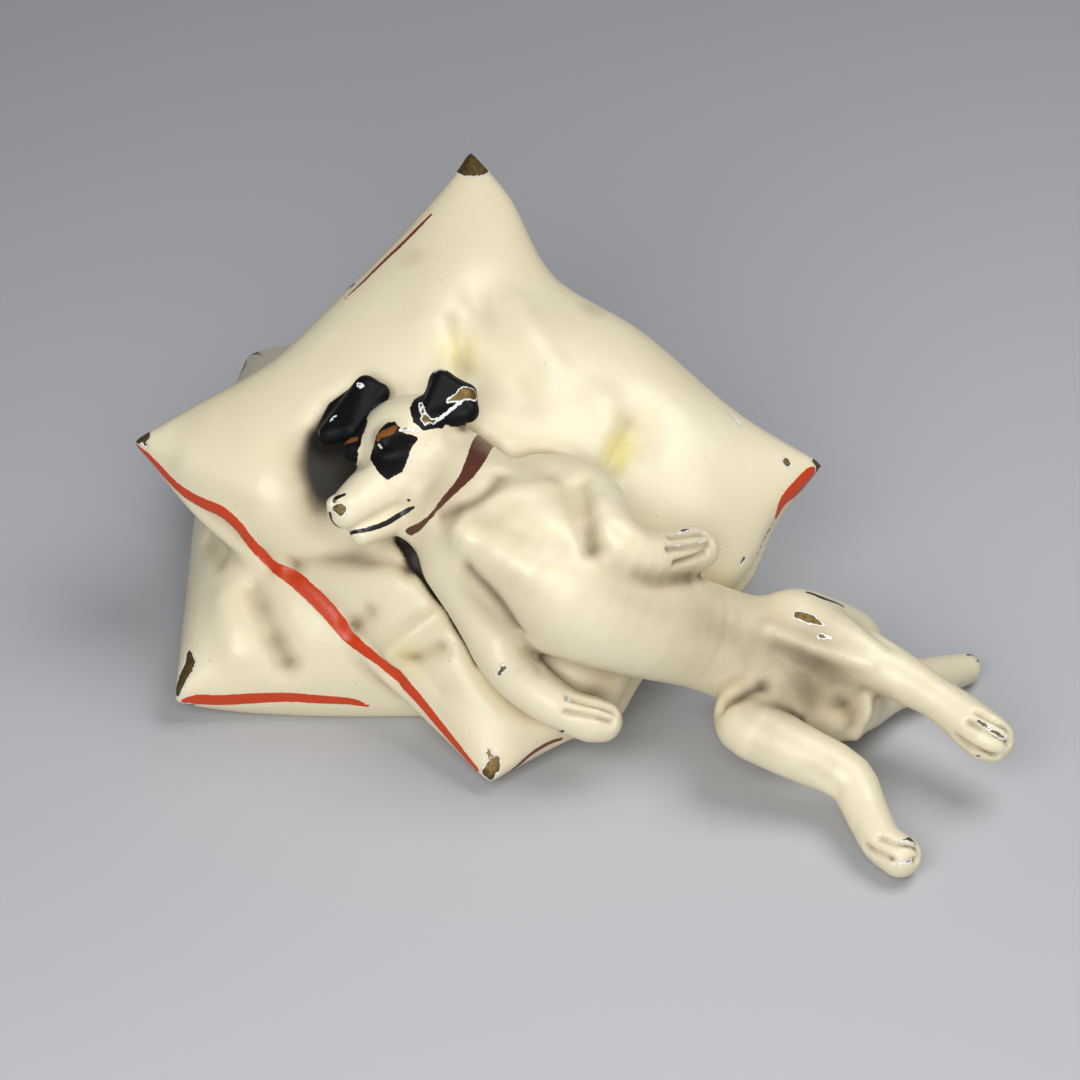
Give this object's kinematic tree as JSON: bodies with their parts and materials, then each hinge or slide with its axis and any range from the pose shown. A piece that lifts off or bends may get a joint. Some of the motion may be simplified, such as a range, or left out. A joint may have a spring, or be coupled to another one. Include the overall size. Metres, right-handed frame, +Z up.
{
  "type": "bronze terrier figurine",
  "caption": "Cold-painted bronze ornament of a small terrier asleep on its back across stacked square cushions.",
  "frame": {"origin": "middle of the lower cushion's flat underside, on the surface the figurine stands on", "axes": "+Z up, +X from the dog's head towards its tail, -Y towards the side the belly leans to"},
  "size_m": [0.1453, 0.1256, 0.0658],
  "materials": {
    "painted_dog": "aged cream cold paint on cast bronze, semi-gloss, with black, tan and brown painted marks",
    "painted_cushion": "aged cream cold paint on cast bronze, semi-gloss, with orange-red painted seams"
  },
  "bodies": {
    "root": {"terrier": "painted_dog", "cushions": "painted_cushion"}
  },
  "joints": []
}
